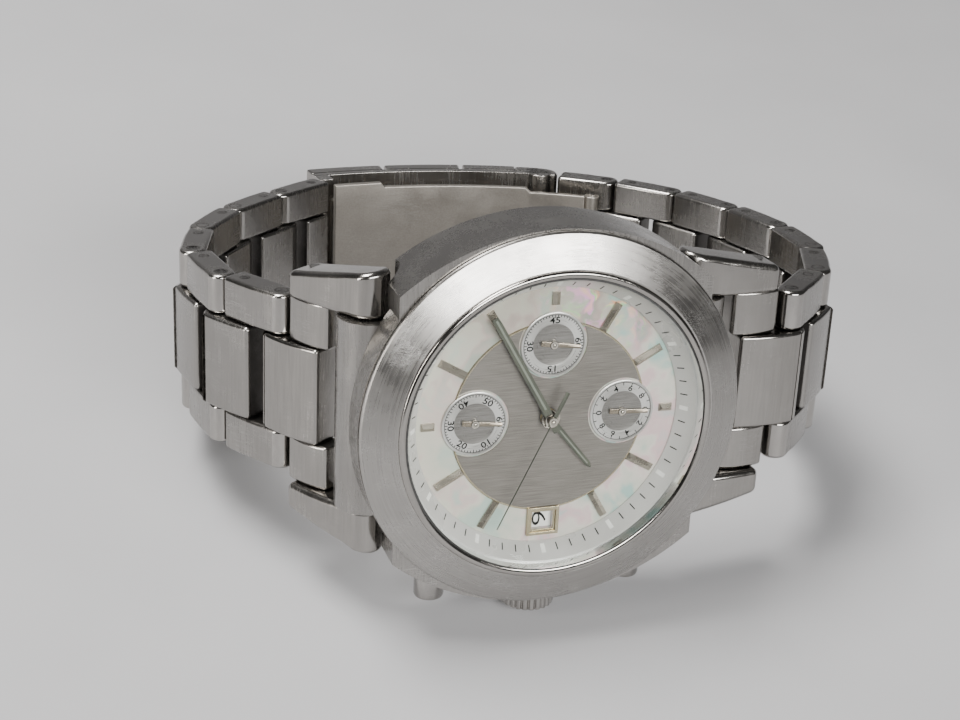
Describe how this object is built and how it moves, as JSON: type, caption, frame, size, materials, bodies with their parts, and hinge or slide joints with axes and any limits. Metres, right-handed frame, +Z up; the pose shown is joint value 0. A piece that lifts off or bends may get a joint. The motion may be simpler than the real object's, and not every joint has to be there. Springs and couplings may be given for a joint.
{
  "type": "chronograph wristwatch",
  "caption": "Steel chronograph wristwatch with a round brushed bezel, three subdials, crown, pushers and a closed link bracelet with a folding clasp.",
  "frame": {"origin": "centre of the bounding box's bottom face: the surface that the crown tip and the bracelet's edge stand on", "axes": "+Z up, +X towards twelve o'clock, +Y from the dial towards the clasp; the dial leans back by 13.7 degrees"},
  "size_m": [0.07, 0.0678, 0.0411],
  "materials": {
    "case_steel": "satin brushed, polished edges",
    "bezel_steel": "circular brushed",
    "polished_steel": "polished",
    "bracelet_steel": "lengthwise brushed faces, polished edges, fine scratches",
    "clasp_steel": "brushed",
    "blade_steel": "fine blasted",
    "pin_steel": "drawn",
    "crystal_glass": "clear mineral glass",
    "seal_rubber": "matte",
    "flange_silver": "silver satin with printed minute track",
    "dial_shell": "mother-of-pearl",
    "dial_centre": "straight brushed",
    "subdial_silver": "silver with printed scale",
    "marker_metal": "faceted",
    "date_frame_gold": "satin",
    "date_print": "matte white",
    "hand_metal": "polished dark",
    "movement_brass": "plated",
    "holder_plastic": "moulded",
    "battery_steel": "plain"
  },
  "bodies": {
    "case": {"case_body": "case_steel", "bezel": "bezel_steel", "crystal": "crystal_glass", "crystal_gasket": "seal_rubber", "case_back": "polished_steel", "case_back_gasket": "seal_rubber", "flange_ring": "flange_silver", "dial_plate": "dial_shell", "dial_centre_disc": "dial_centre", "hour_markers": "marker_metal", "subdial_plates": "subdial_silver", "date_frame": "date_frame_gold", "movement_module": "movement_brass", "movement_holder": "holder_plastic", "battery": "battery_steel", "crown_tube": "pin_steel", "pusher_tubes": "pin_steel", "pusher_springs": "pin_steel"},
    "minute_hand": {"minute_hand": "hand_metal"},
    "hour_hand": {"hour_hand": "hand_metal"},
    "date_disc": {"date_disc": "date_print"},
    "small_seconds_hand": {"small_seconds_hand": "hand_metal"},
    "chrono_seconds_hand": {"chrono_seconds_hand": "hand_metal"},
    "minute_counter_hand": {"minute_counter_hand": "hand_metal"},
    "fraction_hand": {"fraction_hand": "hand_metal"},
    "setting_lever": {"setting_lever": "pin_steel"},
    "crown": {"crown": "polished_steel", "winding_stem": "pin_steel"},
    "pusher_two": {"pusher_two": "polished_steel", "pusher_two_clip": "pin_steel"},
    "pusher_four": {"pusher_four": "polished_steel", "pusher_four_clip": "pin_steel"},
    "six_1": {"lug_arms_six": "bracelet_steel", "end_link_six": "bracelet_steel"},
    "six_2": {"link_six_2": "bracelet_steel"},
    "six_3": {"link_six_3": "bracelet_steel"},
    "six_4": {"link_six_4": "bracelet_steel"},
    "six_5": {"link_six_5": "bracelet_steel"},
    "six_6": {"link_six_6": "bracelet_steel"},
    "six_7": {"link_six_7": "bracelet_steel"},
    "twelve_1": {"lug_arms_twelve": "bracelet_steel", "end_link_twelve": "bracelet_steel"},
    "twelve_2": {"link_twelve_2": "bracelet_steel"},
    "twelve_3": {"link_twelve_3": "bracelet_steel"},
    "twelve_4": {"link_twelve_4": "bracelet_steel"},
    "twelve_5": {"link_twelve_5": "bracelet_steel"},
    "twelve_6": {"link_twelve_6": "bracelet_steel"},
    "twelve_7": {"link_twelve_7": "bracelet_steel"},
    "twelve_8": {"link_twelve_8": "bracelet_steel"},
    "clasp_cover": {"clasp_cover": "clasp_steel", "clasp_cover_links": "clasp_steel", "spring_bar": "pin_steel", "cover_hinge_pin": "pin_steel"},
    "clasp_middle_blade": {"clasp_middle_blade": "blade_steel"},
    "clasp_inner_blade": {"clasp_inner_blade": "blade_steel", "fold_hinge_pin": "pin_steel", "six_end_pin": "pin_steel"}
  },
  "joints": [
    {"name": "minute_turn", "type": "hinge", "parent": "case", "child": "minute_hand", "pos_m": [-0.00408, -0.02732, 0.02224], "axis": [0, 0.9715, -0.2368], "continuous": true},
    {"name": "hour_turn", "type": "hinge", "parent": "case", "child": "hour_hand", "pos_m": [-0.00408, -0.02732, 0.02224], "axis": [0, 0.9715, -0.2368], "continuous": true},
    {"name": "date_turn", "type": "hinge", "parent": "case", "child": "date_disc", "pos_m": [-0.00408, -0.02732, 0.02224], "axis": [0, 0.9715, -0.2368], "continuous": true},
    {"name": "chrono_seconds_turn", "type": "hinge", "parent": "case", "child": "chrono_seconds_hand", "pos_m": [-0.00408, -0.02732, 0.02224], "axis": [0, 0.9715, -0.2368], "continuous": true},
    {"name": "minute_counter_turn", "type": "hinge", "parent": "case", "child": "minute_counter_hand", "pos_m": [-0.00408, -0.02555, 0.02948], "axis": [0, 0.9715, -0.2368], "continuous": true},
    {"name": "small_seconds_turn", "type": "hinge", "parent": "case", "child": "small_seconds_hand", "pos_m": [-0.01153, -0.02732, 0.02224], "axis": [0, 0.9715, -0.2368], "continuous": true},
    {"name": "fraction_turn", "type": "hinge", "parent": "case", "child": "fraction_hand", "pos_m": [0.00337, -0.02732, 0.02224], "axis": [0, 0.9715, -0.2368], "continuous": true},
    {"name": "crown_pull", "type": "slide", "parent": "case", "child": "setting_lever", "axis": [0, -0.2368, -0.9715], "range_m": [0, 0.0009]},
    {"name": "crown_turn", "type": "hinge", "parent": "setting_lever", "child": "crown", "pos_m": [-0.00408, -0.02914, 0.0021], "axis": [0, -0.2368, -0.9715], "continuous": true},
    {"name": "pusher_two_press", "type": "slide", "parent": "case", "child": "pusher_two", "axis": [0, 0.2368, 0.9715], "range_m": [0, 0.0008], "stiffness_N_per_m": 400, "springref_m": -0.0004},
    {"name": "pusher_four_press", "type": "slide", "parent": "case", "child": "pusher_four", "axis": [0, 0.2368, 0.9715], "range_m": [0, 0.0008], "stiffness_N_per_m": 400, "springref_m": -0.0004},
    {"name": "six_1_hinge", "type": "hinge", "parent": "case", "child": "six_1", "pos_m": [-0.02048, -0.02226, 0.02101], "axis": [0, 0.2368, 0.9715], "range_deg": [0, 50]},
    {"name": "six_2_hinge", "type": "hinge", "parent": "six_1", "child": "six_2", "pos_m": [-0.02696, -0.01327, 0.01882], "axis": [0, 0.2368, 0.9715], "range_deg": [0, 7]},
    {"name": "six_3_hinge", "type": "hinge", "parent": "six_2", "child": "six_3", "pos_m": [-0.03159, -0.00635, 0.01713], "axis": [0, 0.2368, 0.9715], "range_deg": [0, 28]},
    {"name": "six_4_hinge", "type": "hinge", "parent": "six_3", "child": "six_4", "pos_m": [-0.03307, 0.00179, 0.01515], "axis": [0, 0.2368, 0.9715], "range_deg": [0, 31]},
    {"name": "six_5_hinge", "type": "hinge", "parent": "six_4", "child": "six_5", "pos_m": [-0.03073, 0.00972, 0.01321], "axis": [0, 0.2368, 0.9715], "range_deg": [0, 24]},
    {"name": "six_6_hinge", "type": "hinge", "parent": "six_5", "child": "six_6", "pos_m": [-0.02585, 0.01649, 0.01156], "axis": [0, 0.2368, 0.9715], "range_deg": [0, 19]},
    {"name": "six_7_hinge", "type": "hinge", "parent": "six_6", "child": "six_7", "pos_m": [-0.01943, 0.02191, 0.01024], "axis": [0, 0.2368, 0.9715], "range_deg": [0, 11]},
    {"name": "twelve_1_hinge", "type": "hinge", "parent": "case", "child": "twelve_1", "pos_m": [0.01232, -0.02226, 0.02101], "axis": [0, -0.2368, -0.9715], "range_deg": [0, 5]},
    {"name": "twelve_2_hinge", "type": "hinge", "parent": "twelve_1", "child": "twelve_2", "pos_m": [0.0236, -0.02169, 0.02087], "axis": [0, -0.2368, -0.9715], "range_deg": [0, 46]},
    {"name": "twelve_3_hinge", "type": "hinge", "parent": "twelve_2", "child": "twelve_3", "pos_m": [0.02972, -0.01595, 0.01947], "axis": [0, -0.2368, -0.9715], "range_deg": [0, 28]},
    {"name": "twelve_4_hinge", "type": "hinge", "parent": "twelve_3", "child": "twelve_4", "pos_m": [0.03304, -0.00835, 0.01762], "axis": [0, -0.2368, -0.9715], "range_deg": [0, 28]},
    {"name": "twelve_5_hinge", "type": "hinge", "parent": "twelve_4", "child": "twelve_5", "pos_m": [0.03304, -0.00009, 0.01561], "axis": [0, -0.2368, -0.9715], "range_deg": [0, 21]},
    {"name": "twelve_6_hinge", "type": "hinge", "parent": "twelve_5", "child": "twelve_6", "pos_m": [0.0307, 0.00784, 0.01367], "axis": [0, -0.2368, -0.9715], "range_deg": [0, 16]},
    {"name": "twelve_7_hinge", "type": "hinge", "parent": "twelve_6", "child": "twelve_7", "pos_m": [0.02684, 0.0152, 0.01188], "axis": [0, -0.2368, -0.9715], "range_deg": [0, 21]},
    {"name": "twelve_8_hinge", "type": "hinge", "parent": "twelve_7", "child": "twelve_8", "pos_m": [0.02104, 0.02124, 0.01041], "axis": [0, -0.2368, -0.9715], "range_deg": [0, 18]},
    {"name": "clasp_cover_hinge", "type": "hinge", "parent": "twelve_8", "child": "clasp_cover", "pos_m": [0.01399, 0.02586, 0.00928], "axis": [0, -0.2368, -0.9715], "range_deg": [0, 60]},
    {"name": "clasp_unfold_hinge", "type": "hinge", "parent": "clasp_cover", "child": "clasp_middle_blade", "pos_m": [-0.01308, 0.02748, 0.00889], "axis": [0, -0.2368, -0.9715], "range_deg": [0, 10]},
    {"name": "clasp_blade_hinge", "type": "hinge", "parent": "clasp_middle_blade", "child": "clasp_inner_blade", "pos_m": [0.01836, 0.01933, 0.01087], "axis": [0, 0.2368, 0.9715], "range_deg": [0, 95]}
  ],
  "couplings": [
    {"joint": "hour_turn", "follows": "minute_turn", "ratio": 0.083333},
    {"joint": "date_turn", "follows": "minute_turn", "ratio": 0.0013441},
    {"joint": "minute_counter_turn", "follows": "chrono_seconds_turn", "ratio": 0.016667}
  ]
}
